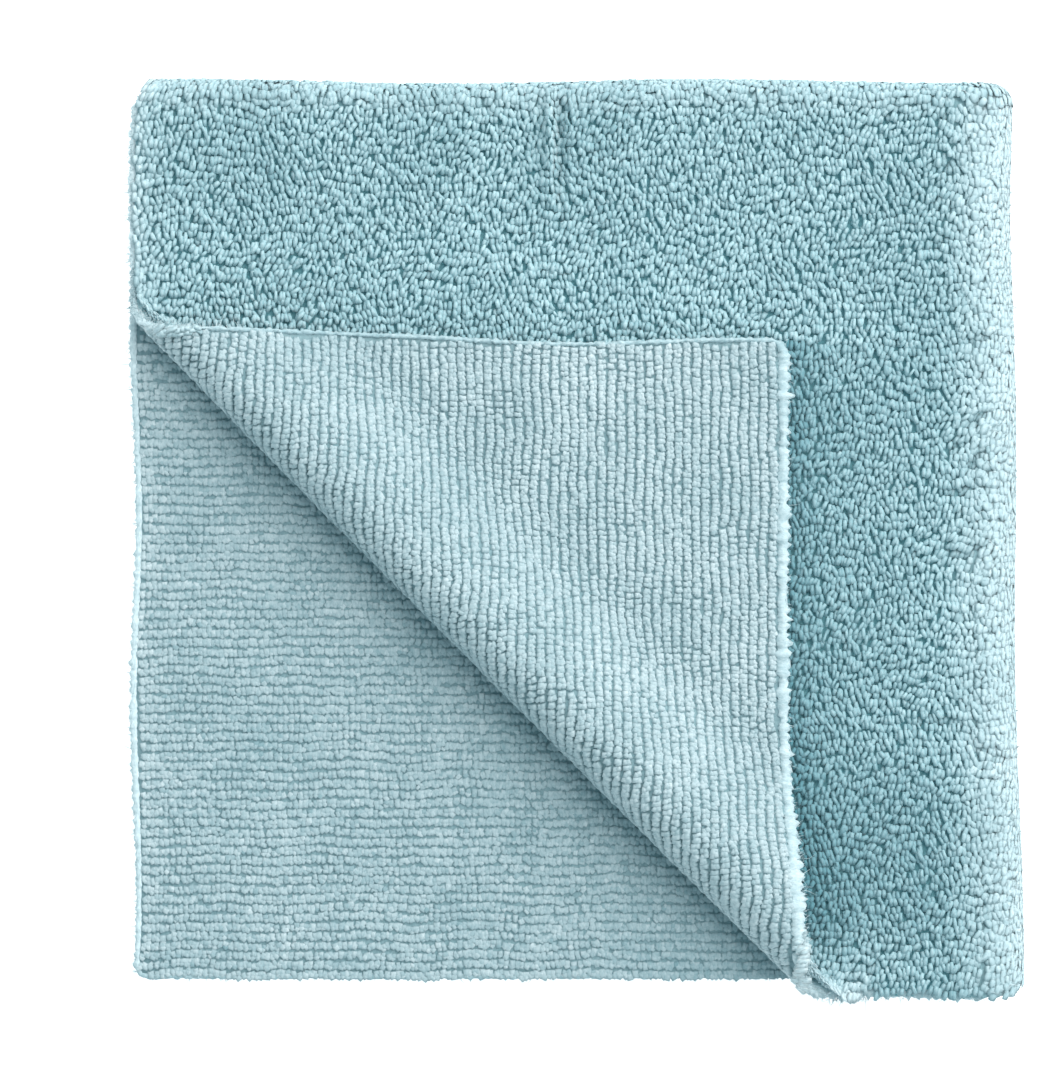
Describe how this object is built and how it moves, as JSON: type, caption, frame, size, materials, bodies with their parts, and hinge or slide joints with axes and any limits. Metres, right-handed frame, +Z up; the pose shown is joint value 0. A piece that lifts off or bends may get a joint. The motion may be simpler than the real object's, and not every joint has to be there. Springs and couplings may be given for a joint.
{
  "type": "folded microfibre cloth",
  "caption": "Soft cleaning cloth with looped pile and a ribbed reverse, folded into a square with a corner of its top layer turned back.",
  "frame": {"origin": "under the middle of the folded cloth's outline, on the surface that it rests on", "axes": "+Z up from the surface; +Y towards the fold that joins the upper layers, which is the picture's top edge; +X towards the fold of the doubled cloth, which is the picture's right edge"},
  "size_m": [0.1623, 0.1668, 0.0245],
  "materials": {
    "microfibre": "matt looped pile on one face, knitted ribs on the other"
  },
  "bodies": {
    "root": {"cloth": "microfibre"}
  },
  "joints": []
}
